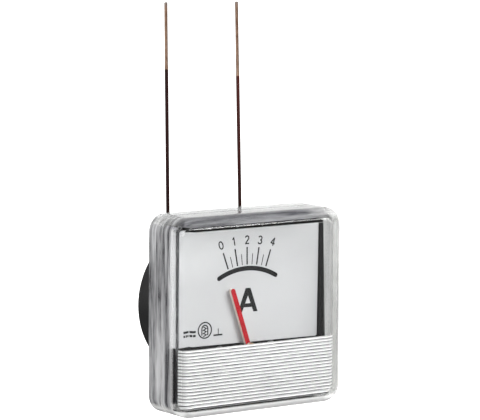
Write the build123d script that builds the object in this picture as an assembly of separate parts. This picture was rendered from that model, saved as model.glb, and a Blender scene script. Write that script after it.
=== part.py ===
from build123d import *
import math
import os

# Small square panel ammeter with a clear cover and a round barrel.
# Millimetres. +X is right, +Y goes back through the panel, +Z is up.
# The origin is the centre of the panel seat, the plane where the cover's rear rim meets the panel.

# How far a cutting shape runs past the face that it opens, and how far joined shapes reach into each other
past = 1.0
merge = 0.1

# Front cover, clear moulding
front_size = 45.0
cover_depth = 13.0
corner_radius = 4.0
front_edge_radius = 3.0
inner_edge_radius = 1.2
window_thickness = 2.2
front_wall = 2.0
rear_wall = 1.3
groove_depth_in = 7.9
groove_width = 0.7
groove_cut = 0.3
rib_pitch = 0.735
rib_height = 0.32
rib_top_z = -7.0
rib_root = 0.2
rib_crest_share = 0.45
rib_bottom_margin = 0.2
rib_end_turn = 60.0
bead_length = 9.0
bead_height = 0.45
bead_width = 0.9
bead_root = 0.3

# Rear case, black moulding: a shallow tray with the barrel behind it
tray_depth_in = 7.0
tray_gap = 0.1
tray_rim = 1.0
tray_recess = 1.1
tray_floor = 1.2
recess_corner = 1.2
hub_hole_gap = 0.72
barrel_set_in = 4.3
barrel_straight = 4.0
barrel_taper = 0.25
barrel_wall = 1.5

# Rear cover of the barrel
rear_cover_thickness = 2.3
rear_edge_radius = 1.0
spigot_width = 1.3
spigot_height = 1.1
spigot_gap = 0.1
channel_side_gap = 0.24
channel_floor = 0.5
channel_floor_gap = 0.09
channel_relief = 0.5

# Dial plate, turned a little in its tray
dial_side_gap = 0.35
dial_top_gap = 1.0
dial_bottom_z = -7.55
dial_thickness = 0.5
dial_turn = 0.7
dial_corner = 0.4

# Pointer and its pivot
pivot_x = -0.3
pivot_z = -8.3
pointer_rest_angle = 18.9
pointer_length = 14.2
pointer_width = 1.15
pointer_thickness = 0.9
pointer_gap = 0.35
running_gap = 0.04
spindle_radius = 0.4
spindle_chamfer = 0.2
spindle_room = 0.4
hub_radius = 0.6
hub_flange_radius = 0.72
hub_flange = 0.25
ring_width = 0.25
arm_thickness = 0.25
arm_width = 0.8
tail_length = 4.2
side_arm_length = 2.6
side_arm_drop = 1.0
weight_radius = 0.55
weight_length = 1.0
weight_reach = 1.9
stop_radius = 3.6
stop_peg_radius = 0.45
stop_peg_rise = 0.2
stop_low_angle = -3.0
stop_high_angle = 38.0

# Bearings and bridges
jewel_radius = 0.65
jewel_cup_depth = 0.7
front_jewel_length = 2.4
rear_jewel_length = 2.8
jewel_reach = 0.3
slot_width = 0.3
slot_depth = 0.35
bridge_thickness = 0.8
bridge_width = 2.6
bridge_gap = 0.5
bridge_end_wall = 0.25
bridge_foot_drop = 7.6
bridge_foot_width = 11.0
bridge_foot_height = 3.6
bridge_screw_spacing = 7.6
screw_radius = 0.7
screw_head_radius = 1.25
screw_head_height = 0.6
screw_clearance = 0.1
screw_tip_gap = 0.1
blind_wall = 0.3

# Frame, coil and magnet
strip_thickness = 0.8
strip_width = 4.6
frame_half_width = 8.6
frame_screw_spacing = 14.2
frame_screw_drop = 0.8
tab_rise = 0.3
tab_gap = 0.03
strap_overhang = 0.6
rear_bridge_gap = 0.4
coil_gap = 0.1
cavity_half_height = 4.2
cavity_half_depth = 1.1
bobbin_wall = 0.8
flange_rise = 0.1
flange_half_depth = 3.0
flange_thickness = 0.6
flange_corner = 1.5
notch_gap = 0.1
bobbin_middle = 0.45
turns_per_side = 5
wire_radius = 0.41
bare_radius = 0.37
flange_gap = 0.02
turn_chamfer_share = 0.6
winding_corner = 1.0
vane_length = 7.6
vane_width = 2.6
vane_thickness = 0.5
vane_end_flat = 0.05
bush_radius = 0.9
bush_length = 1.5
nut_flats = 3.0
nut_height = 0.8
holder_radius = 5.0
holder_wall = 0.4
holder_height = 2.2
magnet_bore = 2.1
screen_wall = 0.4
screen_gap = 0.1
screen_rear_gap = 1.7

# Leads: the coil's own wire ends, which stand up behind the barrel
lead_join_z = 6.0
lead_hole_gap = 0.34
lead_bend_radius = 1.9
lead_sway_radius = 5.0
left_lead_x = -10.1
left_lead_lean = -0.0152
left_lead_top = 68.9
right_lead_x = 9.97
right_lead_lean = -0.0272
right_lead_top = 68.6
lead_reference_z = 20.9
left_bare_length = 15.0
right_bare_length = 17.0
lead_tip_chamfer = 0.12
scrape_length = 0.8

# Places that follow from the sizes above
front_y = -cover_depth
window_inner_y = front_y + window_thickness
tray_front_y = front_y + tray_depth_in
floor_front_y = tray_front_y + tray_recess
floor_back_y = floor_front_y + tray_floor
dial_front_y = floor_front_y - dial_thickness
front_half = front_size / 2 - front_wall
rear_half = front_size / 2 - rear_wall
rib_count = int((rib_top_z + front_half - rib_bottom_margin) / rib_pitch)
tray_half = rear_half - tray_gap
recess_half = tray_half - tray_rim
dial_width = 2 * (recess_half - dial_side_gap)
dial_top_z = recess_half - dial_top_gap
dial_height = dial_top_z - dial_bottom_z
dial_center_z = (dial_top_z + dial_bottom_z) / 2
barrel_radius = front_size / 2 - barrel_set_in
barrel_inner = barrel_radius - barrel_wall
pointer_back_y = dial_front_y - pointer_gap
pointer_front_y = pointer_back_y - pointer_thickness
arm_front_y = pointer_front_y - arm_thickness
side_arm_z = pivot_z - side_arm_drop
hub_back_y = pointer_back_y + hub_flange
hub_front_y = arm_front_y - ring_width
bridge_back_y = hub_front_y - bridge_gap
bridge_front_y = bridge_back_y - bridge_thickness
front_jewel_back_y = bridge_back_y + jewel_reach
front_jewel_front_y = front_jewel_back_y - front_jewel_length
frame_back_y = floor_back_y + strip_thickness
coil_y = frame_back_y + coil_gap + flange_half_depth
rear_bridge_y = coil_y + flange_half_depth + rear_bridge_gap
rear_bridge_back_y = rear_bridge_y + strip_thickness
rear_jewel_front_y = rear_bridge_y - jewel_reach
rear_jewel_back_y = rear_jewel_front_y + rear_jewel_length
spindle_front_y = front_jewel_back_y - jewel_cup_depth + running_gap
spindle_back_y = rear_jewel_front_y + jewel_cup_depth - running_gap
holder_back_y = rear_bridge_back_y + holder_height
movement_back_y = max(holder_back_y, rear_jewel_back_y)
screen_end = movement_back_y + screen_rear_gap + screen_wall
barrel_end = screen_end + spigot_height
rear_y = barrel_end + rear_cover_thickness
rear_radius = barrel_radius - barrel_taper
joint_radius = barrel_radius - barrel_taper * (barrel_end - barrel_straight) / (rear_y - barrel_straight)
lead_plane = rear_y - channel_floor - channel_floor_gap - wire_radius
wire_pitch = 2 * wire_radius
first_turn_x = bobbin_middle + flange_thickness + wire_radius + flange_gap
last_turn_x = first_turn_x + (turns_per_side - 1) * wire_pitch
flange_inner_x = last_turn_x + wire_radius + flange_gap
winding_half_height = cavity_half_height + bobbin_wall + 2 * wire_radius
winding_half_depth = cavity_half_depth + bobbin_wall + 2 * wire_radius
flange_half_height = winding_half_height + flange_rise


def block(x, y, z):
    """A box from three pairs of lowest and highest coordinates."""
    size = (x[1] - x[0], y[1] - y[0], z[1] - z[0])
    middle = ((x[0] + x[1]) / 2, (y[0] + y[1]) / 2, (z[0] + z[1]) / 2)
    return Pos(*middle) * Box(*size)


def rod(x, z, radius, y0, y1):
    """A round bar along Y from y0 to y1."""
    return Pos(x, (y0 + y1) / 2, z) * Rot(90, 0, 0) * Cylinder(radius, y1 - y0)


def cone(front_radius, back_radius, y0, y1):
    """A round bar on the barrel's axis whose radius changes evenly from y0 to y1."""
    return Pos(0, (y0 + y1) / 2, 0) * Rot(90, 0, 0) * Cone(back_radius, front_radius, y1 - y0)


def upright_plane(y, x=0, z=0):
    """A plane that faces the front, with its own x along +X and its own y along +Z."""
    return Plane(origin=(x, y, z), x_dir=(1, 0, 0), z_dir=(0, -1, 0))


def rounded_plate(half, radius, y0, y1):
    """A square plate with rounded corners, centred on the barrel's axis."""
    outline = upright_plane(y0) * RectangleRounded(2 * half, 2 * half, radius)
    return extrude(outline, y0 - y1)


def slotted_screw(x, z, head_front_y, seat_y, tip_y):
    """A small screw along Y with a round head in front of its seat and one slot."""
    head = rod(x, z, screw_head_radius, head_front_y, seat_y)
    shank = rod(x, z, screw_radius, seat_y, tip_y)
    half_slot = slot_width / 2
    reach = screw_head_radius + past
    slot = block(
        (x - reach, x + reach),
        (head_front_y - past, head_front_y + slot_depth),
        (z - half_slot, z + half_slot),
    )
    return head + shank - slot


def turned(shape, angle):
    """The shape turned about the pivot, clockwise as the front shows it."""
    axis = Axis((pivot_x, 0, pivot_z), (0, 1, 0))
    return shape.rotate(axis, angle)


def front_cover():
    """Clear cover: window, ribs, stepped side walls, side groove and four snap beads."""
    outer = rounded_plate(front_size / 2, corner_radius, front_y, 0)
    outer = fillet(outer.faces().sort_by(Axis.Y)[0].edges(), front_edge_radius)
    rear_room = rounded_plate(rear_half, corner_radius - rear_wall, tray_front_y, past)
    groove_y = front_y + groove_depth_in
    groove_half = front_size / 2 - groove_cut
    groove_end_y = groove_y + groove_width
    ring = rounded_plate(front_size / 2 + past, corner_radius + past, groove_y, groove_end_y)
    ring -= rounded_plate(groove_half, corner_radius - groove_cut, groove_y - past, groove_end_y + past)
    shell = outer - front_room(0) - rear_room - ring
    return shell + window_ribs() + snap_beads()


def front_room(grow):
    """The space in front of the tray, with a rounded front edge, made larger all round by grow."""
    half = front_half + grow
    corner = corner_radius - front_wall + grow
    room = rounded_plate(half, corner, window_inner_y - grow, tray_front_y)
    return fillet(room.faces().sort_by(Axis.Y)[0].edges(), inner_edge_radius + grow)


def window_ribs():
    """Fine level ridges on the window's inner face, over the movement, bent round its side edges."""
    root = window_inner_y - rib_root
    crest = window_inner_y + rib_height
    points = [(root, rib_top_z), (window_inner_y, rib_top_z)]
    for row in range(rib_count):
        z = rib_top_z - row * rib_pitch
        points.append((crest, z - rib_crest_share * rib_pitch))
        points.append((window_inner_y, z - rib_pitch))
    points.append((root, rib_top_z - rib_count * rib_pitch))
    profile = Plane.YZ * make_face(Polyline(points, close=True))
    flat_half = front_half - inner_edge_radius
    comb = extrude(profile, flat_half, both=True)
    for side in (-1, 1):
        end = Pos(side * flat_half, 0, 0) * profile
        turn = Axis((side * flat_half, window_inner_y + inner_edge_radius, 0), (0, 0, side))
        comb += revolve(end, turn, rib_end_turn)
    return comb & front_room(rib_root)


def snap_beads():
    """Four wedge beads that hold the tray against its ledge."""
    y0 = floor_back_y + tray_gap
    profile = make_face(
        Plane.XY
        * Polyline(
            (rear_half + bead_root, y0),
            (rear_half - bead_height, y0),
            (rear_half, y0 + bead_width),
            (rear_half + bead_root, y0 + bead_width),
            close=True,
        )
    )
    bead = extrude(profile, bead_length / 2, both=True)
    beads = bead
    for quarter in range(1, 4):
        beads += bead.rotate(Axis.Y, 90 * quarter)
    return beads


def rear_case():
    """Black tray with the barrel behind it, the bearing hole, screw holes and stop pegs."""
    tray = rounded_plate(tray_half, corner_radius - rear_wall - tray_gap, tray_front_y, floor_back_y)
    tray -= rounded_plate(recess_half, recess_corner, tray_front_y - past, floor_front_y)
    barrel = rod(0, 0, barrel_radius, floor_back_y, barrel_straight)
    barrel += cone(barrel_radius, joint_radius, barrel_straight, barrel_end)
    barrel -= rod(0, 0, barrel_inner, floor_back_y, barrel_end + past)
    case = tray + barrel
    hub_hole_radius = hub_flange_radius + hub_hole_gap
    case -= rod(pivot_x, pivot_z, hub_hole_radius, floor_front_y - past, floor_back_y + past)
    hole_radius = screw_radius + screw_clearance
    for x, z in frame_screw_places():
        case -= rod(x, z, hole_radius, floor_front_y - past, floor_back_y + past)
    for x, z in bridge_screw_places():
        case -= rod(x, z, screw_radius, floor_front_y - past, floor_back_y - blind_wall)
    for angle in stop_peg_angles():
        reach = math.radians(angle)
        x = pivot_x - stop_radius * math.sin(reach)
        z = pivot_z - stop_radius * math.cos(reach)
        case += rod(x, z, stop_peg_radius, arm_front_y - stop_peg_rise, floor_front_y + merge)
    return case


def stop_peg_angles():
    """Where the two pegs stand, as turns from straight down, so that the tail meets them."""
    side = math.degrees(math.asin((arm_width / 2 + stop_peg_radius) / stop_radius))
    low = -pointer_rest_angle + stop_low_angle - side
    high = -pointer_rest_angle + stop_high_angle + side
    return low, high


def frame_screw_places():
    """The two screws that hold the movement frame, left and right of the pivot."""
    z = pivot_z - frame_screw_drop
    return [(pivot_x - frame_screw_spacing / 2, z), (pivot_x + frame_screw_spacing / 2, z)]


def bridge_screw_places():
    """The two screws in the foot of the front bridge."""
    z = pivot_z - bridge_foot_drop
    return [(pivot_x - bridge_screw_spacing / 2, z), (pivot_x + bridge_screw_spacing / 2, z)]


def rear_cover():
    """Black disc that closes the barrel, with a spigot and a channel for each lead."""
    disc = cone(joint_radius, rear_radius, barrel_end, rear_y)
    disc = fillet(disc.edges().filter_by(GeomType.CIRCLE).sort_by(Axis.Y)[-1], rear_edge_radius)
    spigot_outer = barrel_inner - spigot_gap
    spigot = rod(0, 0, spigot_outer, barrel_end - spigot_height, barrel_end + merge)
    spigot -= rod(0, 0, spigot_outer - spigot_width, barrel_end - spigot_height - past, barrel_end)
    cover = disc + spigot
    for points in (lead_route(-1), lead_route(1)):
        for start, end in ((points[1], points[2]), (points[2], points[3])):
            cover -= channel(start, end)
    return cover


def channel(start, end):
    """A level-bottomed channel along one run of a lead, open to the front."""
    start = Vector(start)
    run = Vector(end) - start
    length = min(run.length, barrel_radius)
    mouth_y = barrel_end - channel_relief
    floor_y = rear_y - channel_floor
    depth = floor_y - mouth_y
    middle_y = (mouth_y + floor_y) / 2
    channel_width = 2 * (wire_radius + channel_side_gap)
    lean = math.degrees(math.atan2(run.X, run.Z))
    bar = Box(channel_width, depth, length, align=(Align.CENTER, Align.CENTER, Align.MIN))
    place = Pos(start.X, middle_y, start.Z)
    end_round = Rot(90, 0, 0) * Cylinder(channel_width / 2, depth)
    return place * Rot(0, lean, 0) * (bar + end_round)


def lead_route(side):
    """Points of one lead: coil, bend behind the screen, the joggle and the tip."""
    if side < 0:
        x_at, lean, top = left_lead_x, left_lead_lean, left_lead_top
    else:
        x_at, lean, top = right_lead_x, right_lead_lean, right_lead_top
    start_x = pivot_x + side * last_turn_x
    start_z = pivot_z + winding_half_height - wire_radius
    start = (start_x, coil_y, start_z)
    bend = (start_x, lead_plane, start_z)
    joggle = (x_at + lean * (lead_join_z - lead_reference_z), lead_plane, lead_join_z)
    tip = (x_at + lean * (top - lead_reference_z), lead_plane, top)
    return [start, bend, joggle, tip]


def lead(side, bare_length):
    """One stiff lead, enamelled, which tapers to a scraped and slightly thinner end."""
    points = lead_route(side)
    tip = Vector(points[3])
    up = (tip - Vector(points[2])).normalized()
    bare_start = tip - up * bare_length
    points[3] = tuple(bare_start)
    path = FilletPolyline(*points, radius=[lead_bend_radius, lead_sway_radius])
    section = Plane(origin=points[0], z_dir=(0, 1, 0)) * Circle(wire_radius)
    enamelled = sweep(section, path=path)
    scrape_end = bare_start + up * scrape_length
    bare_plane = Plane(origin=tuple(scrape_end), z_dir=tuple(up))
    bare = extrude(bare_plane * Circle(bare_radius), bare_length - scrape_length)
    bare = chamfer(bare.edges().filter_by(GeomType.CIRCLE).sort_by(Axis.Z)[-1], lead_tip_chamfer)
    scrape_plane = Plane(origin=tuple(bare_start), z_dir=tuple(up))
    scrape = loft([scrape_plane * Circle(wire_radius), bare_plane * Circle(bare_radius)], ruled=True)
    return enamelled + scrape + bare


def coil_wire():
    """The coil's one wire: two groups of turns round the bobbin and its two ends as leads."""
    inner = bobbin_tube_outline()
    crossing_z = pivot_z - winding_half_height + wire_radius
    crossing = Pos(pivot_x, coil_y, crossing_z) * Rot(0, 90, 0) * Cylinder(wire_radius, 2 * first_turn_x)
    wire = lead(-1, left_bare_length) + lead(1, right_bare_length) + crossing
    for side in (-1, 1):
        for turn in range(turns_per_side):
            x = side * (first_turn_x + turn * wire_pitch)
            wire += Pos(pivot_x + x, coil_y, pivot_z) * coil_turn()
    return wire - Pos(pivot_x, coil_y, pivot_z) * extrude(inner, last_turn_x + wire_radius, both=True)


def coil_turn():
    """One turn as a filled plate with bevelled rims, before the bobbin's tube is cut out of it."""
    outline = Rectangle(2 * winding_half_depth, 2 * winding_half_height)
    outline = chamfer(outline.vertices(), winding_corner)
    plate = extrude(Plane.YZ * outline, wire_radius, both=True)
    rims = plate.faces().sort_by(Axis.X)[0].edges() + plate.faces().sort_by(Axis.X)[-1].edges()
    return chamfer(rims, turn_chamfer_share * wire_radius)


def bobbin_tube_outline():
    """Section of the bobbin's flat tube, which the turns lie on."""
    return Plane.YZ * Rectangle(2 * (cavity_half_depth + bobbin_wall), 2 * (cavity_half_height + bobbin_wall))


def coil_bobbin():
    """Moulded bobbin: a flat tube for the vane, four flanges and the spindle's gap."""
    half_length = flange_inner_x + flange_thickness
    tube = bobbin_tube_outline()
    cavity = Plane.YZ * Rectangle(2 * cavity_half_depth, 2 * cavity_half_height)
    flange_outline = Plane.YZ * RectangleRounded(
        2 * flange_half_depth, 2 * flange_half_height, flange_corner
    )
    flange = extrude(flange_outline, flange_thickness)
    body = extrude(tube, half_length, both=True)
    for x in (-half_length, -bobbin_middle - flange_thickness, bobbin_middle, flange_inner_x):
        body += Pos(x, 0, 0) * flange
    body -= extrude(cavity, half_length + past, both=True)
    body -= rod(0, 0, spindle_radius + spindle_room, -flange_half_depth - past, flange_half_depth + past)
    notch_half = wire_radius + notch_gap
    notch_top = -winding_half_height + 2 * wire_radius + notch_gap
    body -= block(
        (-flange_inner_x + notch_gap, flange_inner_x - notch_gap),
        (-notch_half, notch_half),
        (-flange_half_height - past, notch_top),
    )
    return Pos(pivot_x, coil_y, pivot_z) * body


def dial_plate():
    """Flat plate, slightly turned in the tray."""
    outline = upright_plane(dial_front_y) * RectangleRounded(dial_width, dial_height, dial_corner)
    plate = extrude(outline, -dial_thickness)
    return Pos(0, 0, dial_center_z) * plate.rotate(Axis.Y, dial_turn)


def flat_ring(radius, bore, y0, y1):
    """A washer round the pivot."""
    return rod(pivot_x, pivot_z, radius, y0, y1) - rod(pivot_x, pivot_z, bore, y0 - past, y1 + past)


def pointer():
    """Red blade with a blunt rounded tip and the eye that sits on the hub."""
    half = pointer_width / 2
    straight = pointer_length - half
    blade = block(
        (pivot_x - half, pivot_x + half),
        (pointer_front_y, pointer_back_y),
        (pivot_z + hub_radius, pivot_z + straight),
    )
    tip = rod(pivot_x, pivot_z + straight, half, pointer_front_y, pointer_back_y)
    eye = rod(pivot_x, pivot_z, hub_radius + ring_width, pointer_front_y, pointer_back_y)
    blade = blade + tip + eye
    blade -= rod(pivot_x, pivot_z, hub_radius, pointer_front_y - past, pointer_back_y + past)
    return turned(blade, -pointer_rest_angle)


def balance_arm():
    """Flat cross with a tail and, below the pivot, two side arms for the weights."""
    half = arm_width / 2
    tail = block(
        (pivot_x - half, pivot_x + half),
        (arm_front_y, pointer_front_y),
        (pivot_z - tail_length, pivot_z),
    )
    sides = block(
        (pivot_x - side_arm_length, pivot_x + side_arm_length),
        (arm_front_y, pointer_front_y),
        (side_arm_z - half, side_arm_z + half),
    )
    eye = rod(pivot_x, pivot_z, hub_radius + ring_width, arm_front_y, pointer_front_y)
    arm = tail + sides + eye
    arm -= rod(pivot_x, pivot_z, hub_radius, arm_front_y - past, pointer_front_y + past)
    return turned(arm, -pointer_rest_angle)


def balance_weights():
    """Two small slotted slugs on the side arms."""
    middle_y = (arm_front_y + pointer_front_y) / 2
    slugs = []
    for side in (-1, 1):
        x = pivot_x + side * weight_reach
        slug = Pos(x, middle_y, side_arm_z) * Rot(0, 90, 0) * Cylinder(weight_radius, weight_length)
        slug -= Pos(x, middle_y, side_arm_z) * Box(weight_length + past, arm_thickness, arm_width)
        slugs.append(turned(slug, -pointer_rest_angle))
    return Compound(children=slugs)


def pointer_hub():
    """Brass boss with a flange behind the pointer's eye."""
    boss = rod(pivot_x, pivot_z, hub_radius, hub_front_y, hub_back_y)
    boss += rod(pivot_x, pivot_z, hub_flange_radius, pointer_back_y, hub_back_y)
    return boss - rod(pivot_x, pivot_z, spindle_radius, hub_front_y - past, hub_back_y + past)


def spindle():
    """Steel shaft with a short cone at each end."""
    bar = rod(pivot_x, pivot_z, spindle_radius, spindle_front_y, spindle_back_y)
    ends = bar.edges().filter_by(GeomType.CIRCLE)
    return chamfer(ends, spindle_chamfer)


def vane_bush():
    """Brass bush that carries the vane on the spindle."""
    return flat_ring(bush_radius, spindle_radius, coil_y - bush_length / 2, coil_y + bush_length / 2)


def moving_iron():
    """Soft iron vane, a long plate with rounded ends, pressed on its bush."""
    plane = upright_plane(coil_y - vane_thickness / 2, pivot_x, pivot_z)
    outline = plane * RectangleRounded(vane_width, vane_length, vane_width / 2 - vane_end_flat)
    plate = extrude(outline, -vane_thickness)
    plate -= rod(pivot_x, pivot_z, bush_radius, coil_y - past, coil_y + past)
    return turned(plate, -pointer_rest_angle)


def jewel_screw(front_y_end, back_y_end, cup_at_back):
    """Bearing screw with a blind cup for the spindle at one end and a slot at the other."""
    screw = rod(pivot_x, pivot_z, jewel_radius, front_y_end, back_y_end)
    half_slot = slot_width / 2
    if cup_at_back:
        cup = (back_y_end - jewel_cup_depth, back_y_end + past)
        slot_y = (front_y_end - past, front_y_end + slot_depth)
    else:
        cup = (front_y_end - past, front_y_end + jewel_cup_depth)
        slot_y = (back_y_end - slot_depth, back_y_end + past)
    screw -= rod(pivot_x, pivot_z, spindle_radius + running_gap, *cup)
    screw -= block(
        (pivot_x - jewel_radius - past, pivot_x + jewel_radius + past),
        slot_y,
        (pivot_z - half_slot, pivot_z + half_slot),
    )
    return screw


def front_jewel_screw():
    """Bearing screw in the front bridge."""
    return jewel_screw(front_jewel_front_y, front_jewel_back_y, True)


def rear_jewel_screw():
    """Bearing screw in the rear bridge."""
    return jewel_screw(rear_jewel_front_y, rear_jewel_back_y, False)


def front_bridge():
    """Cranked strap: a foot on the tray floor, a riser and an upright to the front bearing."""
    foot_z = pivot_z - bridge_foot_drop
    foot_top = foot_z + bridge_foot_height / 2
    half = bridge_width / 2
    foot_y = floor_front_y - bridge_thickness
    foot = block(
        (pivot_x - bridge_foot_width / 2, pivot_x + bridge_foot_width / 2),
        (foot_y, floor_front_y),
        (foot_z - bridge_foot_height / 2, foot_top),
    )
    riser = block(
        (pivot_x - half, pivot_x + half),
        (bridge_front_y, floor_front_y),
        (foot_top - bridge_thickness, foot_top),
    )
    end_radius = jewel_radius + bridge_end_wall
    upright_outline = make_face(
        upright_plane(bridge_front_y)
        * Polyline(
            (pivot_x - half, foot_top - bridge_thickness),
            (pivot_x - half, foot_top),
            (pivot_x - end_radius, pivot_z),
            (pivot_x + end_radius, pivot_z),
            (pivot_x + half, foot_top),
            (pivot_x + half, foot_top - bridge_thickness),
            close=True,
        )
    )
    upright = extrude(upright_outline, -bridge_thickness)
    end = rod(pivot_x, pivot_z, end_radius, bridge_front_y, bridge_back_y)
    bridge = foot + riser + upright + end
    bridge -= rod(pivot_x, pivot_z, jewel_radius, bridge_front_y - past, bridge_back_y + past)
    for x, z in bridge_screw_places():
        bridge -= rod(x, z, screw_radius + screw_clearance, foot_y - past, floor_front_y + past)
    return bridge


def bridge_screws():
    """The two screws of the front bridge."""
    seat = floor_front_y - bridge_thickness
    tip = floor_back_y - blind_wall - screw_tip_gap
    screws = []
    for x, z in bridge_screw_places():
        screws.append(slotted_screw(x, z, seat - screw_head_height, seat, tip))
    return Compound(children=screws)


def movement_frame():
    """Bent strip: a front plate behind the tray floor and two legs with tabs."""
    half = strip_width / 2
    plate = block(
        (pivot_x - frame_half_width, pivot_x + frame_half_width),
        (floor_back_y, frame_back_y),
        (pivot_z - half, pivot_z + half),
    )
    frame = plate
    for side in (-1, 1):
        outer = pivot_x + side * frame_half_width
        inner = outer - side * strip_thickness
        span = (min(outer, inner), max(outer, inner))
        frame += block(span, (floor_back_y, rear_bridge_y), (pivot_z - half, pivot_z + half))
        tab_end = rear_bridge_back_y + tab_rise
        frame += block(span, (rear_bridge_y - merge, tab_end), (pivot_z - half / 2, pivot_z + half / 2))
    frame -= rod(pivot_x, pivot_z, spindle_radius + spindle_room, floor_back_y - past, frame_back_y + past)
    for x, z in frame_screw_places():
        frame -= rod(x, z, screw_radius, floor_back_y - past, frame_back_y + past)
    return frame


def frame_screws():
    """The two screws that hold the frame behind the tray floor."""
    screws = []
    for x, z in frame_screw_places():
        head_front = floor_front_y - screw_head_height
        screws.append(slotted_screw(x, z, head_front, floor_front_y, frame_back_y))
    return Compound(children=screws)


def rear_bridge():
    """Flat strap on the legs' tabs, which carries the rear bearing."""
    half = strip_width / 2
    reach = frame_half_width + strap_overhang
    strap = block(
        (pivot_x - reach, pivot_x + reach),
        (rear_bridge_y, rear_bridge_back_y),
        (pivot_z - half, pivot_z + half),
    )
    strap -= rod(pivot_x, pivot_z, jewel_radius, rear_bridge_y - past, rear_bridge_back_y + past)
    for side in (-1, 1):
        outer = pivot_x + side * frame_half_width
        inner = outer - side * strip_thickness
        strap -= block(
            (min(outer, inner) - tab_gap, max(outer, inner) + tab_gap),
            (rear_bridge_y - past, rear_bridge_back_y + past),
            (pivot_z - half / 2 - tab_gap, pivot_z + half / 2 + tab_gap),
        )
    return strap


def rear_lock_nut():
    """Hexagon nut that locks the rear bearing screw."""
    plane = upright_plane(rear_bridge_back_y, pivot_x, pivot_z)
    nut = extrude(plane * RegularPolygon(nut_flats / 2, 6, major_radius=False), -nut_height)
    nut_back_y = rear_bridge_back_y + nut_height
    return nut - rod(pivot_x, pivot_z, jewel_radius, rear_bridge_back_y - past, nut_back_y + past)


def magnet_holder():
    """Shallow cup soldered on the rear strap, round the lock nut."""
    cup = flat_ring(holder_radius, magnet_bore, rear_bridge_back_y, holder_back_y)
    room_front_y = rear_bridge_back_y + holder_wall
    return cup - rod(pivot_x, pivot_z, holder_radius - holder_wall, room_front_y, holder_back_y + past)


def control_magnet():
    """Ring magnet in its holder."""
    front = rear_bridge_back_y + holder_wall
    return flat_ring(holder_radius - holder_wall, magnet_bore, front, holder_back_y)


def screen_cup():
    """Thin steel cup inside the barrel, with a hole for each lead."""
    outer = barrel_inner - screen_gap
    cup = rod(0, 0, outer, floor_back_y, screen_end)
    cup -= rod(0, 0, outer - screen_wall, floor_back_y - past, screen_end - screen_wall)
    for side in (-1, 1):
        x, _, z = lead_route(side)[1]
        cup -= rod(x, z, wire_radius + lead_hole_gap, screen_end - screen_wall - past, screen_end + past)
    return cup


nodes = {
    "front_cover": front_cover,
    "rear_case": rear_case,
    "rear_cover": rear_cover,
    "dial_plate": dial_plate,
    "pointer": pointer,
    "pointer_hub": pointer_hub,
    "spindle": spindle,
    "balance_arm": balance_arm,
    "balance_weights": balance_weights,
    "vane_bush": vane_bush,
    "moving_iron": moving_iron,
    "front_bridge": front_bridge,
    "bridge_screws": bridge_screws,
    "movement_frame": movement_frame,
    "frame_screws": frame_screws,
    "rear_bridge": rear_bridge,
    "rear_lock_nut": rear_lock_nut,
    "coil_bobbin": coil_bobbin,
    "coil_wire": coil_wire,
    "magnet_holder": magnet_holder,
    "control_magnet": control_magnet,
    "screen_cup": screen_cup,
    "front_jewel_screw": front_jewel_screw,
    "rear_jewel_screw": rear_jewel_screw,
}

os.makedirs("parts", exist_ok=True)
for name, make in nodes.items():
    export_step(make(), f"parts/{name}.step")
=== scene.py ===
import math
import bmesh
import bpy
from mathutils import Matrix, Vector


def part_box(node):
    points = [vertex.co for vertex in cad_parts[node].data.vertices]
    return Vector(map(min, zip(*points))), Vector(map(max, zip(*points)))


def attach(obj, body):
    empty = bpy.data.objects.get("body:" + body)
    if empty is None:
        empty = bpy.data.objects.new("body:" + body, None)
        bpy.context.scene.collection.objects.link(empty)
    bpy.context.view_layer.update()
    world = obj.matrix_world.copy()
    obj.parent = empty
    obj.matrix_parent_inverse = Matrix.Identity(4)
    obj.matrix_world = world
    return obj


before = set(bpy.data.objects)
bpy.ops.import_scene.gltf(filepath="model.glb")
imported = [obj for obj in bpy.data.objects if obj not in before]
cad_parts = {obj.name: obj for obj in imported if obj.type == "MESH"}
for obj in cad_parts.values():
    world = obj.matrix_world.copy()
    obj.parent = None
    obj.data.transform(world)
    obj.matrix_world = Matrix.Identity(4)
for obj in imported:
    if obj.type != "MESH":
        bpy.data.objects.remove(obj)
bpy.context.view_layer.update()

MM = 0.001

# Places on the meter, in millimetres
DIAL_FRONT_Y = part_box("dial_plate")[0][1] / MM
POINTER_FRONT_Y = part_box("pointer")[0][1] / MM
WINDOW_INNER_Y = -10.8
PIVOT = (-0.3, -8.3)

# Ribs inside the window and their white coat, in millimetres
RIB_TOP_Z = -7.0
RIB_PITCH = 0.735
RIB_COUNT = 18
RIB_BOTTOM_Z = RIB_TOP_Z - RIB_COUNT * RIB_PITCH
COAT_BACK_Y = -9.55
COAT_HALF = 20.7

# Hollows between the ribs, where painted shade lies, as shares of the pitch
HOLLOW_START = 0.67
HOLLOW_END = 0.97
HOLLOW_SOFT = 0.03
HOLLOW_DRIFT = 0.02

# Where each part of the cover's walls, with its painted reflections and shade, begins and is full, in
# millimetres; AWAY is the larger of |x| and |z|
WALL_AWAY = (20.6, 21.0)
OUTER_FACE_AWAY = (22.0, 22.4)
WALL_ENDS_Z = (20.5, 21.1)
LIP_Y = (-12.8, -12.2)
LEFT_WALL_X = (-22.2, -21.7)
LEFT_LIP_X = (-21.0, -20.0)
LEFT_LIP_Y = (-10.0, -8.5)
TOP_Z = (20.0, 20.6)
TOP_FADE_X = (12.0, 20.0)
TOP_EDGE_Y = (-10.2, -9.7)
BOTTOM_Z = (-20.9, -20.5)
FILLET_AWAY = (19.3, 19.7)
FILLET_Y = (-10.75, -9.5)
SHADE_SLANT = (-20.0, 2.0)
GAP_Y = (-9.7, -0.5)
GAP_INNER_X = (20.3, 20.4)
GAP_OUTER_X = (21.5, 21.8)
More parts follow.
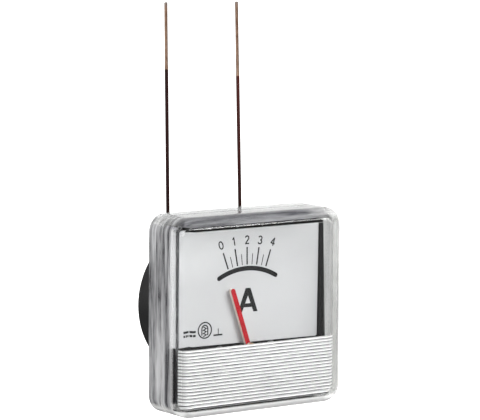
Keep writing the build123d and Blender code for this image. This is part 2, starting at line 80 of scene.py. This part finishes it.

# Dark strip painted on the right wall, a painted reflection of the black tray seen through it: z and front
# y of its upper and lower end, then its ranges, in millimetres
STRIP_TOP = (19.5, -6.4)
STRIP_LOW = (-7.0, -7.4)
STRIP_BACK_Y = (-5.9, -5.8)
STRIP_X = (20.3, 20.8)
STRIP_Z = (-20.5, 19.4)

# Level strips of the cover, painted near-black lines at the top and bottom of the window and a dark painted
# ceiling, which stand for the black tray seen through the cover: z range, y range and the x range over
# which each fades out, in millimetres
TOP_LINE = ((19.25, 19.7), (-10.84, -10.5), (17.1, 17.4))
BOTTOM_LINE = ((-20.6, -20.26), (-10.6, -9.2), (15.0, 17.5))
CEILING = ((20.0, 20.56), (-10.75, -6.2), TOP_FADE_X)

# Share of light that each part of the cover scatters instead of letting it through, which lets its painted
# reflections and shade show
FROST_LIT_WALL = 0.42
FROST_OUTER_FACE = 0.18
FROST_SHADED_WALL = 0.24
FROST = {"bottom": 0.55, "left": 0.6, "gap": 0.15, "painted dark lines": 1.0, "ceiling": 0.75}

# Other looks: paint on the pointer, painted light on the dial, scraped ends of the leads, in millimetres
RED_DEPTH = (0.10, 0.16)
DIAL_PAINTED_LIGHT = (9.0, 20.0)
SCRAPED_LEFT_Z = 53.9
SCRAPED_RIGHT_Z = 51.6
GREY_TIP_Z = (67.5, 68.9)
REDDISH_Z = (18.0, 50.0)

# Print on the dial, in millimetres
PRINT_THICKNESS = 0.02
DIGIT_SIZE = 1.95
DIGIT_STROKE = 0.155
MAJOR_WIDTH = 0.36
MINOR_WIDTH = 0.19
TICK_INNER, MAJOR_OUTER, MINOR_OUTER = 18.5, 22.5, 21.0
TICK_LEVEL = 12.0
ARC_CENTER = (-0.26, -7.15)
ARC_RADIUS = 16.5
ARC_WIDTH = 1.06
ARC_START = (-7.71, 7.36)
ARC_END = (7.8, 7.2)
LETTER_PLACE = (0.12, -0.67)
LETTER_SIZE = 5.5
DIAL_TURN = 0.7

# Camera: yaw, pitch and roll in degrees, place in metres, focal length in millimetres
CAMERA_TURN = (35.01, 6.92, 0.35)
CAMERA_PLACE = (-0.37338, -0.53625, 0.10127)
CAMERA_LENS = 217.125

# Floor: height and half width in metres, and the strength of its glow
FLOOR_Z = -0.0345
FLOOR_HALF = 3.0
FLOOR_GLOW = 0.45

# World: strength of its light on matt surfaces, direction of the bright backdrop and how the room dims
SKY = 1.38
BACKDROP_SIDE = (0.57, 0.81, 0.12)
BACKDROP_RANGE = (-0.3, 0.93)
ROOM_SHADE = 0.02
OVERHEAD_RANGE = (0.25, 0.7)
OVERHEAD_SHARE = 0.25


# Node helpers

class Nodes:
    """Short calls for the nodes of one tree."""

    def __init__(self, tree):
        self.nodes = tree.nodes
        self.links = tree.links

    def node(self, kind, **values):
        made = self.nodes.new(kind)
        for key, value in values.items():
            setattr(made, key, value)
        return made

    def put(self, value, socket):
        if isinstance(value, bpy.types.NodeSocket):
            self.links.new(value, socket)
        else:
            socket.default_value = value

    def math(self, operation, a, b=0.0):
        made = self.node("ShaderNodeMath", operation=operation)
        self.put(a, made.inputs[0])
        self.put(b, made.inputs[1])
        return made.outputs[0]

    def chain(self, operation, values):
        result = values[0]
        for value in values[1:]:
            result = self.math(operation, result, value)
        return result

    def product(self, *values):
        return self.chain("MULTIPLY", values)

    def total(self, *values):
        return self.chain("ADD", values)

    def largest(self, *values):
        return self.chain("MAXIMUM", values)

    def opposite(self, share):
        return self.math("SUBTRACT", 1.0, share)

    def ramp(self, value, low, high, start, end):
        """The value taken from low..high to start..end, held at both ends."""
        made = self.node("ShaderNodeMapRange")
        self.put(value, made.inputs["Value"])
        for name, number in (("From Min", low), ("From Max", high), ("To Min", start), ("To Max", end)):
            self.put(number, made.inputs[name])
        return made.outputs["Result"]

    def rises(self, value, low, high):
        """0 up to low, 1 from high on."""
        return self.ramp(value, low, high, 0.0, 1.0)

    def falls(self, value, low, high):
        """1 up to low, 0 from high on."""
        return self.ramp(value, low, high, 1.0, 0.0)

    def band(self, value, low, high, soft):
        """1 between low and high, 0 outside, with soft edges."""
        rise = self.rises(value, low - soft, low + soft)
        fall = self.falls(value, high - soft, high + soft)
        return self.product(rise, fall)

    def blend(self, share, a, b):
        """A number between a and b."""
        made = self.node("ShaderNodeMix", data_type="FLOAT")
        self.put(share, made.inputs["Factor"])
        self.put(a, made.inputs[2])
        self.put(b, made.inputs[3])
        return made.outputs[0]


class Look(Nodes):
    """A new material with its position, in metres, and short calls for its shader."""

    def __init__(self, name):
        self.material = bpy.data.materials.new(name)
        self.material.use_nodes = True
        super().__init__(self.material.node_tree)
        self.shader = self.nodes["Principled BSDF"]
        self.output = self.nodes["Material Output"]
        self.position = self.node("ShaderNodeTexCoord").outputs["Object"]

    def set(self, **values):
        for key, value in values.items():
            self.put(value, self.shader.inputs[key.replace("_", " ")])

    def stretch(self, x, y, z):
        """The position scaled along each axis."""
        mapping = self.node("ShaderNodeMapping")
        mapping.inputs["Scale"].default_value = (x, y, z)
        self.links.new(self.position, mapping.inputs["Vector"])
        return mapping.outputs["Vector"]

    def axes(self):
        """x, y and z in millimetres."""
        made = self.node("ShaderNodeSeparateXYZ")
        self.links.new(self.stretch(1 / MM, 1 / MM, 1 / MM), made.inputs[0])
        return made.outputs

    def noise(self, scale, detail, rough=0.5, vector=None):
        made = self.node("ShaderNodeTexNoise")
        made.inputs["Scale"].default_value = scale
        made.inputs["Detail"].default_value = detail
        made.inputs["Roughness"].default_value = rough
        self.links.new(vector or self.position, made.inputs["Vector"])
        return made.outputs["Fac"]

    def stretched_noise(self, x, y, z, detail, rough=0.5):
        return self.noise(1, detail, rough, self.stretch(x, y, z))

    def spread(self, noise, start=0.0, end=1.0):
        """Noise, which keeps near one half, spread over start..end."""
        return self.ramp(noise, 0.3, 0.7, start, end)

    def mix(self, share, a, b):
        """A colour between a and b."""
        made = self.node("ShaderNodeMix", data_type="RGBA")
        self.put(share, made.inputs["Factor"])
        self.put((*a, 1.0) if isinstance(a, tuple) else a, made.inputs[6])
        self.put((*b, 1.0) if isinstance(b, tuple) else b, made.inputs[7])
        return made.outputs[2]

    def bump(self, height, distance, strength):
        made = self.node("ShaderNodeBump")
        made.inputs["Distance"].default_value = distance
        made.inputs["Strength"].default_value = strength
        self.links.new(height, made.inputs["Height"])
        self.links.new(made.outputs["Normal"], self.shader.inputs["Normal"])


def grey(level):
    return (level, level, level)


# Clear cover

def rib_coat(look):
    """Where the coat lies and its colour: white ribs with painted shade in the hollows between them."""
    x, y, z = look.axes()
    deep = look.band(y, WINDOW_INNER_Y + 0.004, COAT_BACK_Y, 0.002)
    high = look.band(z, RIB_BOTTOM_Z, RIB_TOP_Z, 0.01)
    wide = look.band(x, -COAT_HALF, COAT_HALF, 0.01)
    row = look.math("FRACT", look.product(look.math("SUBTRACT", RIB_TOP_Z, z), 1 / RIB_PITCH))
    drift = look.spread(look.stretched_noise(150, 1, 900, 2), -HOLLOW_DRIFT, HOLLOW_DRIFT)
    hollow_shade = look.band(look.total(row, drift), HOLLOW_START, HOLLOW_END, HOLLOW_SOFT)
    # How strong the painted shade in each hollow is, at random
    depth = look.spread(look.stretched_noise(260, 1, 1200, 2), 0.75, 1.0)
    cloud = look.spread(look.noise(260, 2, vector=look.stretch(1, 1, 0.3)))
    white = look.mix(cloud, grey(0.95), grey(0.98))
    colour = look.mix(look.product(hollow_shade, depth), white, grey(0.02))
    return look.product(deep, high, wide), colour


def level_strip(look, ranges, z_soft, y_soft):
    """A level strip of the cover that fades out toward the right, a mask for painted dark lines and the
    dark painted ceiling.
    """
    x, y, z = look.axes()
    z_range, y_range, x_fade = ranges
    high = look.band(z, *z_range, z_soft)
    deep = look.band(y, *y_range, y_soft)
    return look.product(high, deep, look.falls(x, *x_fade))


def right_strip(look):
    """The strip on the inside of the right wall, painted near-black where the black tray shows through it:
    a painted reflection.
    """
    x, y, z = look.axes()
    front = look.ramp(z, STRIP_LOW[0], STRIP_TOP[0], STRIP_LOW[1], STRIP_TOP[1])
    deep = look.product(look.rises(look.math("SUBTRACT", y, front), 0.0, 0.1), look.falls(y, *STRIP_BACK_Y))
    return look.product(deep, look.band(x, *STRIP_X, 0.05), look.band(z, *STRIP_Z, 0.1))


def cover_regions(look):
    """Parts of the cover by name, each 1 inside and 0 outside, which place its painted reflections and
    shade and its frost.
    """
    x, y, z = look.axes()
    away = look.largest(look.math("ABSOLUTE", x), look.math("ABSOLUTE", z))
    walls = look.product(look.rises(away, *WALL_AWAY), look.rises(y, *LIP_Y))
    left_lip = look.product(look.falls(x, *LEFT_LIP_X), look.falls(y, *LEFT_LIP_Y))
    top = look.product(look.rises(z, *TOP_Z), look.falls(x, *TOP_FADE_X))
    fillet = look.product(look.band(y, *FILLET_Y, 0.1), look.rises(away, *FILLET_AWAY))
    gap_wide = look.product(look.rises(x, *GAP_INNER_X), look.falls(x, *GAP_OUTER_X))
    top_line = level_strip(look, TOP_LINE, 0.04, 0.01)
    bottom_line = level_strip(look, BOTTOM_LINE, 0.02, 0.05)
    return {
        "outer face": look.rises(away, *OUTER_FACE_AWAY),
        "side": look.product(walls, look.opposite(left_lip)),
        "left": look.product(look.falls(x, *LEFT_WALL_X), look.rises(y, *LEFT_LIP_Y)),
        "shaded": look.falls(look.math("SUBTRACT", x, z), *SHADE_SLANT),
        "ends": look.rises(look.math("ABSOLUTE", z), *WALL_ENDS_Z),
        "top edge": look.product(walls, top, look.falls(y, *TOP_EDGE_Y)),
        "fillet": fillet,
        "crown": look.product(fillet, look.rises(z, *FILLET_AWAY)),
        "bottom": look.falls(z, *BOTTOM_Z),
        "gap": look.product(look.band(y, *GAP_Y, 0.3), gap_wide),
        "painted dark lines": look.largest(top_line, bottom_line, right_strip(look)),
        "ceiling": level_strip(look, CEILING, 0.03, 0.1),
    }


def wall_colour(look, region):
    """Clear front, and walls painted with what they reflect and show inside: streaky painted reflections of
    the black tray, lit and shaded sides, greyer outer faces and ends, and near-black painted lines and dark
    painted edges where the tray shows through.
    """
    # Each colour below, but the clear front, is painted reflection or shade for the tray and room seen in
    # and through the walls
    streaks = look.rises(look.stretched_noise(45, 620, 45, 4, 0.65), 0.38, 0.62)
    shaded_wall = look.mix(streaks, (0.46, 0.465, 0.47), (0.80, 0.805, 0.80))
    left_wall_reflection = look.mix(streaks, (0.08, 0.08, 0.085), (0.50, 0.50, 0.51))
    dark_edge_reflection = look.mix(streaks, (0.07, 0.07, 0.08), (0.42, 0.42, 0.44))
    outer_face_shade = look.mix(streaks, (0.46, 0.46, 0.455), (0.90, 0.90, 0.89))
    lit_wall = look.mix(region["outer face"], (0.97, 0.97, 0.955), outer_face_shade)
    lit_wall = look.mix(region["ends"], lit_wall, (0.66, 0.66, 0.655))
    shaded_wall = look.mix(region["left"], shaded_wall, left_wall_reflection)
    walls = look.mix(look.largest(region["shaded"], region["left"]), lit_wall, shaded_wall)
    colour = look.mix(region["side"], (0.975, 0.98, 0.975), walls)
    # Painted reflection of the black tray at the top edge and ceiling, a painted grey crown, and near-black
    # painted lines where the tray shows through
    colour = look.mix(region["top edge"], colour, dark_edge_reflection)
    colour = look.mix(region["crown"], colour, grey(0.35))
    colour = look.mix(region["painted dark lines"], colour, grey(0.008))
    return look.mix(region["ceiling"], colour, dark_edge_reflection)


def frost(look, region):
    """How much light each part of the cover scatters instead of letting it through, so that its painted
    reflections and shade show.
    """
    lit = look.ramp(region["outer face"], 0.0, 1.0, FROST_LIT_WALL, FROST_OUTER_FACE)
    lit = look.product(look.opposite(region["shaded"]), lit)
    shaded = look.product(region["shaded"], FROST_SHADED_WALL)
    side = look.product(region["side"], look.total(lit, shaded))
    parts = [look.product(region[name], share) for name, share in FROST.items()]
    return look.largest(side, *parts)


def let_lamps_through(look, coat):
    """Lets the lamps' light pass the clear parts without shadow, and little of it the coat."""
    shadow_ray = look.node("ShaderNodeLightPath").outputs["Is Shadow Ray"]
    through = look.node("ShaderNodeBsdfTransparent")
    through.inputs["Color"].default_value = (0.93, 0.94, 0.935, 1)
    blend = look.node("ShaderNodeMixShader")
    look.put(look.product(shadow_ray, look.ramp(coat, 0, 1, 1.0, 0.08)), blend.inputs[0])
    look.put(look.shader.outputs[0], blend.inputs[1])
    look.put(through.outputs[0], blend.inputs[2])
    look.put(blend.outputs[0], look.output.inputs["Surface"])


def clear_plastic():
    """Clear moulding with a white coat on the ribs inside its window, painted shade in the hollows between
    the ribs, and painted reflections and shade on its walls.
    """
    look = Look("clear_plastic_looks")
    coat, coat_colour = rib_coat(look)
    region = cover_regions(look)
    look.set(Base_Color=look.mix(coat, wall_colour(look, region), coat_colour), IOR=1.49)
    clear = look.ramp(coat, 0, 1, 1.0, 0.03)
    look.set(Transmission_Weight=look.math("SUBTRACT", clear, frost(look, region)))
    haze = look.ramp(look.noise(900, 2), 0.45, 0.8, 0.0, 0.02)
    dull_coat = look.product(coat, 0.5)
    dull_side = look.product(region["side"], 0.10)
    dull_fillet = look.product(region["fillet"], 0.03)
    look.set(Roughness=look.total(haze, dull_coat, dull_side, dull_fillet))
    flow = look.total(look.stretched_noise(520, 520, 60, 3), look.stretched_noise(60, 520, 520, 3))
    look.bump(look.product(flow, region["side"]), 0.00014, 0.5)
    let_lamps_through(look, coat)
    return look.material


# Other materials

def black_moulding():
    """Black moulding, a little greyer on the barrel behind the panel seat."""
    look = Look("black_moulding_looks")
    broad = look.ramp(look.noise(120, 3), 0.35, 0.65, 0, 1)
    fine = look.noise(5200, 2)
    tray = look.mix(broad, (0.005, 0.005, 0.0055), (0.009, 0.009, 0.0095))
    barrel = look.mix(broad, (0.013, 0.013, 0.0135), (0.020, 0.020, 0.020))
    behind_seat = look.rises(look.axes()[1], -0.5, 0.5)
    look.set(Base_Color=look.mix(behind_seat, tray, barrel), IOR=1.5)
    look.set(Roughness=look.spread(fine, 0.42, 0.56), Specular_IOR_Level=0.2)
    look.bump(fine, 0.00003, 0.35)
    return look.material


def dial_paint():
    """Light grey paint with painted light toward the upper left, where less light falls."""
    look = Look("dial_paint_looks")
    x, _, z = look.axes()
    grain = look.noise(9000, 2)
    paint = look.mix(look.spread(look.noise(90, 2)), (0.505, 0.504, 0.516), (0.53, 0.529, 0.542))
    # Painted light: the paint is lighter toward the upper left to make up for the light that falls short
    # there
    upper = look.rises(look.math("SUBTRACT", z, look.product(x, 0.2)), *DIAL_PAINTED_LIGHT)
    look.set(Base_Color=look.mix(upper, paint, (0.645, 0.644, 0.657)))
    look.set(Roughness=look.spread(grain, 0.5, 0.65))
    look.bump(grain, 0.00001, 0.2)
    return look.material


def print_ink():
    """Black ink."""
    look = Look("print_ink_looks")
    worn = look.ramp(look.noise(2600, 3), 0.35, 0.7, 0, 1)
    look.set(Base_Color=look.mix(worn, (0.004, 0.004, 0.0045), (0.010, 0.010, 0.011)))
    look.set(Roughness=0.6, Specular_IOR_Level=0.2)
    return look.material


def pointer_paint():
    """Cream plastic bar with a red front."""
    look = Look("pointer_paint_looks")
    broad = look.spread(look.noise(500, 2))
    red = look.mix(broad, (0.36, 0.006, 0.012), (0.42, 0.009, 0.017))
    cream = look.mix(broad, (0.80, 0.66, 0.60), (0.86, 0.74, 0.68))
    depth = look.total(look.axes()[1], look.spread(look.noise(1500, 2), -0.03, 0.03))
    behind = look.rises(depth, *(POINTER_FRONT_Y + reach for reach in RED_DEPTH))
    look.set(Base_Color=look.mix(behind, red, cream), Specular_IOR_Level=0.15)
    look.set(Roughness=look.spread(look.noise(4000, 2), 0.45, 0.6))
    return look.material


def turned_metal(name, low, high, rough):
    """Metal with fine turning marks, between two colours."""
    look = Look(name)
    rings = look.stretched_noise(2500, 300, 2500, 2)
    look.set(Base_Color=look.mix(look.spread(rings), low, high), Metallic=1.0)
    look.set(Roughness=look.spread(rings, rough - 0.06, rough + 0.08))
    look.bump(rings, 0.00001, 0.3)
    return look.material


def bobbin_plastic():
    """Cream moulding."""
    look = Look("bobbin_plastic_looks")
    look.set(Base_Color=look.mix(look.spread(look.noise(300, 2)), (0.68, 0.62, 0.5), (0.74, 0.69, 0.57)))
    look.set(Roughness=look.spread(look.noise(3000, 2), 0.4, 0.55))
    look.bump(look.noise(4000, 2), 0.00002, 0.3)
    return look.material


def magnet_ceramic():
    """Dark sintered grain."""
    look = Look("magnet_ceramic_looks")
    grain = look.noise(3500, 3)
    look.set(Base_Color=look.mix(grain, (0.018, 0.017, 0.017), (0.05, 0.047, 0.045)))
    look.set(Roughness=look.spread(grain, 0.55, 0.8))
    look.bump(grain, 0.00003, 0.4)
    return look.material


def coil_copper():
    """Enamelled wire whose two upright ends are scraped bare."""
    look = Look("coil_copper_looks")
    x, _, z = look.axes()
    right = look.rises(x, -0.1, 0.1)
    scraped_from = look.ramp(right, 0, 1, SCRAPED_LEFT_Z, SCRAPED_RIGHT_Z)
    above = look.math("SUBTRACT", z, scraped_from)
    ragged = look.total(above, look.spread(look.noise(900, 3), -0.7, 0.7))
    bare = look.rises(ragged, -0.25, 0.25)
    mottle = look.stretched_noise(1500, 1500, 420, 4, 0.65)
    copper = look.mix(look.rises(mottle, 0.36, 0.66), (0.25, 0.135, 0.088), (0.62, 0.41, 0.30))
    copper = look.mix(look.ramp(z, *GREY_TIP_Z, 0, 0.75), copper, (0.40, 0.37, 0.35))
    reddish = look.product(right, look.rises(z, *REDDISH_Z), 0.8)
    warm = look.total(reddish, look.product(look.spread(mottle), 0.2))
    enamel = look.mix(warm, (0.013, 0.004, 0.0035), (0.050, 0.010, 0.008))
    look.set(Base_Color=look.mix(bare, enamel, copper), Metallic=look.product(bare, 0.85))
    look.set(Roughness=look.ramp(bare, 0, 1, 0.34, 0.5), Specular_IOR_Level=0.2)
    look.bump(look.stretched_noise(3000, 3000, 260, 3), 0.00002, 0.35)
    return look.material


brass = turned_metal("brass_looks", (0.55, 0.38, 0.15), (0.68, 0.49, 0.22), 0.3)
steel = turned_metal("steel_looks", (0.42, 0.42, 0.43), (0.56, 0.56, 0.57), 0.32)
aluminium = turned_metal("aluminium_looks", (0.66, 0.67, 0.68), (0.76, 0.77, 0.78), 0.35)
soft_iron = turned_metal("soft_iron_looks", (0.2, 0.195, 0.19), (0.3, 0.29, 0.28), 0.5)
black = black_moulding()
ink = print_ink()
looks = {
    "front_cover": clear_plastic(),
    "rear_case": black,
    "rear_cover": black,
    "dial_plate": dial_paint(),
    "pointer": pointer_paint(),
    "pointer_hub": brass,
    "spindle": steel,
    "balance_arm": aluminium,
    "balance_weights": brass,
    "vane_bush": brass,
    "moving_iron": soft_iron,
    "front_bridge": brass,
    "bridge_screws": steel,
    "movement_frame": aluminium,
    "frame_screws": steel,
    "rear_bridge": brass,
    "rear_lock_nut": brass,
    "coil_bobbin": bobbin_plastic(),
    "coil_wire": coil_copper(),
    "magnet_holder": brass,
    "control_magnet": magnet_ceramic(),
    "screen_cup": steel,
    "front_jewel_screw": brass,
    "rear_jewel_screw": brass,
}
for node, material in looks.items():
    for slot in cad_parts[node].material_slots:
        slot.material = material


# Outlines for the print, in dial x and z

def ribbon(points, width, closed=False):
    """A stroke of even width along the points, as a list of four-sided outlines."""
    count = len(points)
    sides = []
    for index in range(count):
        before = points[index - 1] if index > 0 or closed else None
        after = points[(index + 1) % count] if index < count - 1 or closed else None
        here = Vector(points[index])
        a = (here - Vector(before)).normalized() if before is not None else None
        b = (Vector(after) - here).normalized() if after is not None else None
        a, b = a or b, b or a
        along = (a + b).normalized()
        across = Vector((-along.y, along.x))
        reach = width / 2 / max(0.5, along.dot(a))
        sides.append((here + across * reach, here - across * reach))
    outlines = []
    for index in range(count if closed else count - 1):
        (a, b), (c, d) = sides[index], sides[(index + 1) % count]
        outlines.append([a, b, d, c])
    return outlines


def arc(center, radius, start, end, steps, widen=1.0):
    """Points of an arc; angles in degrees from the right, counter-clockwise."""
    points = []
    for k in range(steps + 1):
        angle = math.radians(start + (end - start) * k / steps)
        across, up = math.cos(angle), math.sin(angle)
        points.append((center[0] + radius * widen * across, center[1] + radius * up))
    return points


def disc(center, radius):
    return [arc(center, radius, 0, 360, 20)[:-1]]


def placed(outlines, x, z, size, turn):
    """Outlines scaled, turned clockwise by degrees and moved to a place on the dial."""
    s, c = math.sin(math.radians(turn)), math.cos(math.radians(turn))
    moved = []
    for outline in outlines:
        moved.append([(x + size * (a * c + b * s), z + size * (b * c - a * s)) for a, b in outline])
    return moved


def print_piece(name, outlines):
    """Flat prisms from the outlines, seated on the plate's front face."""
    mesh = bpy.data.meshes.new(name)
    made = bmesh.new()
    front, back = (DIAL_FRONT_Y - PRINT_THICKNESS) * MM, DIAL_FRONT_Y * MM
    for outline in outlines:
        near = [made.verts.new((x * MM, front, z * MM)) for x, z in outline]
        far = [made.verts.new((x * MM, back, z * MM)) for x, z in outline]
        made.faces.new(near)
        made.faces.new(far[::-1])
        for k in range(len(outline)):
            n = (k + 1) % len(outline)
            made.faces.new((near[k], far[k], far[n], near[n]))
    bmesh.ops.recalc_face_normals(made, faces=made.faces)
    made.to_mesh(mesh)
    made.free()
    piece = bpy.data.objects.new(name, mesh)
    bpy.context.collection.objects.link(piece)
    mesh.materials.append(ink)
    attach(piece, "housing")


# Scale digits: strokes about the digit's centre, one unit high, and each digit's x, z and turn

zero = [(arc((0, 0), 0.445, 0, 360, 24, 0.58)[:-1], True)]
one = [
    ([(0.06, -0.5), (0.06, 0.5)], False),
    ([(0.06, 0.44), (-0.02, 0.33), (-0.17, 0.27)], False),
]
two = [
    (arc((0, 0.22), 0.225, 170, -38, 14, 1.05) + [(-0.24, -0.445)], False),
    ([(-0.28, -0.445), (0.28, -0.445)], False),
]
three = [
    (arc((0, 0.23), 0.215, 165, -90, 14, 1.05), False),
    (arc((0, -0.215), 0.23, 90, -165, 14, 1.1), False),
]
four = [
    ([(0.1, -0.5), (0.1, 0.5)], False),
    ([(0.1, 0.44), (-0.27, -0.2)], False),
    ([(-0.3, -0.2), (0.3, -0.2)], False),
]
digits = [
    (zero, -7.30, 15.05, -19.9),
    (one, -3.80, 15.70, -10.6),
    (two, -0.15, 15.85, -0.5),
    (three, 3.45, 15.55, 9.0),
    (four, 7.05, 14.93, 19.0),
]
digit_outlines = []
for strokes, x, z, turn in digits:
    shape = [outline for points, closed in strokes for outline in ribbon(points, DIGIT_STROKE, closed)]
    digit_outlines += placed(shape, x, z, DIGIT_SIZE, turn)
print_piece("scale_digits", digit_outlines)


# Scale marks: each long mark's slant in degrees and its x at the tick level

def tick(slant, x, outer, width):
    """A mark along its own slant, from the inner radius to an outer one about the pivot."""
    along = Vector((math.sin(math.radians(slant)), math.cos(math.radians(slant))))
    start = Vector((x, TICK_LEVEL)) - Vector(PIVOT)
    middle = -start.dot(along)
    off = (start + along * middle).length
    ends = []
    for radius in (TICK_INNER, outer):
        reach = math.sqrt(radius * radius - off * off)
        ends.append(tuple(Vector(PIVOT) + start + along * (middle + reach)))
    return ribbon(ends, width)


major_ticks = [(-19.86, -6.22), (-10.58, -3.11), (-0.47, -0.13), (9.00, 2.83), (19.03, 5.97)]
tick_outlines = []
for slant, x in major_ticks:
    tick_outlines += tick(slant, x, MAJOR_OUTER, MAJOR_WIDTH)
for (a, xa), (b, xb) in zip(major_ticks, major_ticks[1:]):
    tick_outlines += tick((a + b) / 2, (xa + xb) / 2, MINOR_OUTER, MINOR_WIDTH)
print_piece("scale_ticks", tick_outlines)


# Heavy arc below the marks

def angle_about_arc(point):
    return math.degrees(math.atan2(point[1] - ARC_CENTER[1], point[0] - ARC_CENTER[0]))


arc_points = arc(ARC_CENTER, ARC_RADIUS, angle_about_arc(ARC_START), angle_about_arc(ARC_END), 40)
arc_outlines = ribbon(arc_points, ARC_WIDTH)
for end in (arc_points[0], arc_points[-1]):
    arc_outlines += disc(end, ARC_WIDTH / 2)
print_piece("scale_arc", arc_outlines)

# Unit letter: two legs and a bar, one unit high

letter = [
    [(-0.50, 0.0), (-0.285, 0.0), (0.03, 0.76), (0.0, 1.0), (-0.12, 1.0)],
    [(0.50, 0.0), (0.12, 1.0), (0.0, 1.0), (-0.03, 0.76), (0.285, 0.0)],
    [(-0.24, 0.2), (0.24, 0.2), (0.18, 0.36), (-0.18, 0.36)],
]
print_piece("unit_letter", placed(letter, *LETTER_PLACE, LETTER_SIZE, DIAL_TURN))


# Signs: direct current bar with dashes, ringed loop with a zigzag, upright mark

def current_sign():
    """Direct current: a bar above three dashes."""
    bar_z, dash_z, dash_half, stroke = -4.0, -4.9, 0.36, 0.5
    outlines = ribbon([(-16.85, bar_z), (-14.05, bar_z)], stroke)
    for x in (-16.45, -15.45, -14.45):
        outlines += ribbon([(x - dash_half, dash_z), (x + dash_half, dash_z)], stroke)
    return outlines


def movement_sign():
    """Polarised moving iron: an inverted U with a zigzag inside, in a ring."""
    x, z = -11.6, -3.85
    loop_half, loop_foot = 0.8, z - 1.15
    ring = ribbon(arc((x, z), 1.79, 0, 360, 32)[:-1], 0.30, True)
    bend = arc((x, z + 0.35), loop_half, 180, 0, 12)
    loop = ribbon([(x - loop_half, loop_foot)] + bend + [(x + loop_half, loop_foot)], 0.3)
    half, top, step = 0.4, z + 0.75, 0.36
    zigzag = ribbon([(x + (half if k % 2 else -half), top - step * k) for k in range(7)], 0.28)
    return ring + loop + zigzag


def upright_sign():
    """Upright mounting: a foot line with a post on it."""
    foot_z, post_x, post_top = -5.2, -7.95, -3.7
    foot = ribbon([(-9.25, foot_z), (-6.8, foot_z)], 0.36)
    return foot + ribbon([(post_x, foot_z), (post_x, post_top)], 0.2)


print_piece("dial_signs", current_sign() + movement_sign() + upright_sign())


# Camera: the photograph's view

def photo_camera():
    yaw, pitch, roll = (math.radians(angle) for angle in CAMERA_TURN)
    level_right = Vector((math.cos(yaw), -math.sin(yaw), 0))
    ahead = Vector((math.sin(yaw) * math.cos(pitch), math.cos(yaw) * math.cos(pitch), -math.sin(pitch)))
    level_up = level_right.cross(ahead)
    right = math.cos(roll) * level_right + math.sin(roll) * level_up
    up = -math.sin(roll) * level_right + math.cos(roll) * level_up
    camera = bpy.data.cameras.new("camera")
    camera.lens = CAMERA_LENS
    camera.sensor_width = 36.0
    camera.clip_start = 0.01
    camera.clip_end = 20.0
    holder = bpy.data.objects.new("camera", camera)
    turn = Matrix((right, up, -ahead)).transposed().to_4x4()
    holder.matrix_world = Matrix.Translation(CAMERA_PLACE) @ turn
    bpy.context.collection.objects.link(holder)
    bpy.context.scene.camera = holder


# Floor, world and lamps

def pale_floor():
    """Plain floor that glows a little where it is seen, and is dark in glossy reflections."""
    half = FLOOR_HALF
    corners = [(x, y, FLOOR_Z) for x, y in ((-half, -half), (half, -half), (half, half), (-half, half))]
    mesh = bpy.data.meshes.new("floor")
    mesh.from_pydata(corners, [], [(0, 1, 2, 3)])
    floor = bpy.data.objects.new("floor", mesh)
    bpy.context.collection.objects.link(floor)
    look = Look("floor_looks")
    path = look.node("ShaderNodeLightPath").outputs
    pale = look.mix(look.noise(6, 2), grey(0.80), grey(0.82))
    look.set(Base_Color=look.mix(path["Is Glossy Ray"], pale, grey(0.03)))
    look.set(Roughness=0.9, Specular_IOR_Level=0.0)
    glow = look.node("ShaderNodeEmission")
    glow.inputs["Color"].default_value = (1, 1, 1, 1)
    seen = look.largest(path["Is Camera Ray"], path["Is Transmission Ray"])
    look.put(look.product(seen, FLOOR_GLOW), glow.inputs["Strength"])
    both = look.node("ShaderNodeAddShader")
    look.put(look.shader.outputs[0], both.inputs[0])
    look.put(glow.outputs[0], both.inputs[1])
    look.put(both.outputs[0], look.output.inputs["Surface"])
    mesh.materials.append(look.material)


def studio_world():
    """White backdrop behind the meter, and a dimmer room above it and on the viewer's side."""
    world = bpy.data.worlds.new("studio")
    world.use_nodes = True
    tree = Nodes(world.node_tree)
    background = tree.nodes["Background"]
    background.inputs["Color"].default_value = (1, 1, 1, 1)
    direction = tree.node("ShaderNodeTexCoord").outputs["Generated"]
    toward = tree.node("ShaderNodeVectorMath", operation="DOT_PRODUCT")
    tree.put(direction, toward.inputs[0])
    tree.put(BACKDROP_SIDE, toward.inputs[1])
    parts = tree.node("ShaderNodeSeparateXYZ")
    tree.put(direction, parts.inputs[0])
    level = tree.ramp(toward.outputs["Value"], *BACKDROP_RANGE, ROOM_SHADE, 1.0)
    room = tree.product(level, tree.ramp(parts.outputs["Z"], *OVERHEAD_RANGE, 1.0, OVERHEAD_SHARE))
    path = tree.node("ShaderNodeLightPath").outputs
    seen = tree.blend(path["Is Camera Ray"], room, 1.0)
    directly = tree.largest(path["Is Camera Ray"], path["Is Glossy Ray"], path["Is Transmission Ray"])
    tree.put(tree.blend(directly, SKY, seen), background.inputs["Strength"])
    bpy.context.scene.world = world


def lamp(name, place, size, power, in_gloss):
    """A round lamp that faces the meter and may show in glossy surfaces."""
    data = bpy.data.lights.new(name, "AREA")
    data.shape = "DISK"
    data.size = size
    data.energy = power
    holder = bpy.data.objects.new(name, data)
    holder.location = place
    holder.rotation_mode = "QUATERNION"
    holder.rotation_quaternion = Vector(place).to_track_quat("Z", "Y")
    holder.visible_glossy = in_gloss
    bpy.context.collection.objects.link(holder)


photo_camera()
pale_floor()
studio_world()
lamp("key", (0.55, -0.9, 0.75), 0.6, 14.0, False)
lamp("fill", (-0.9, -0.5, 0.3), 0.8, 3.8, True)

bpy.context.scene.view_settings.view_transform = "Standard"
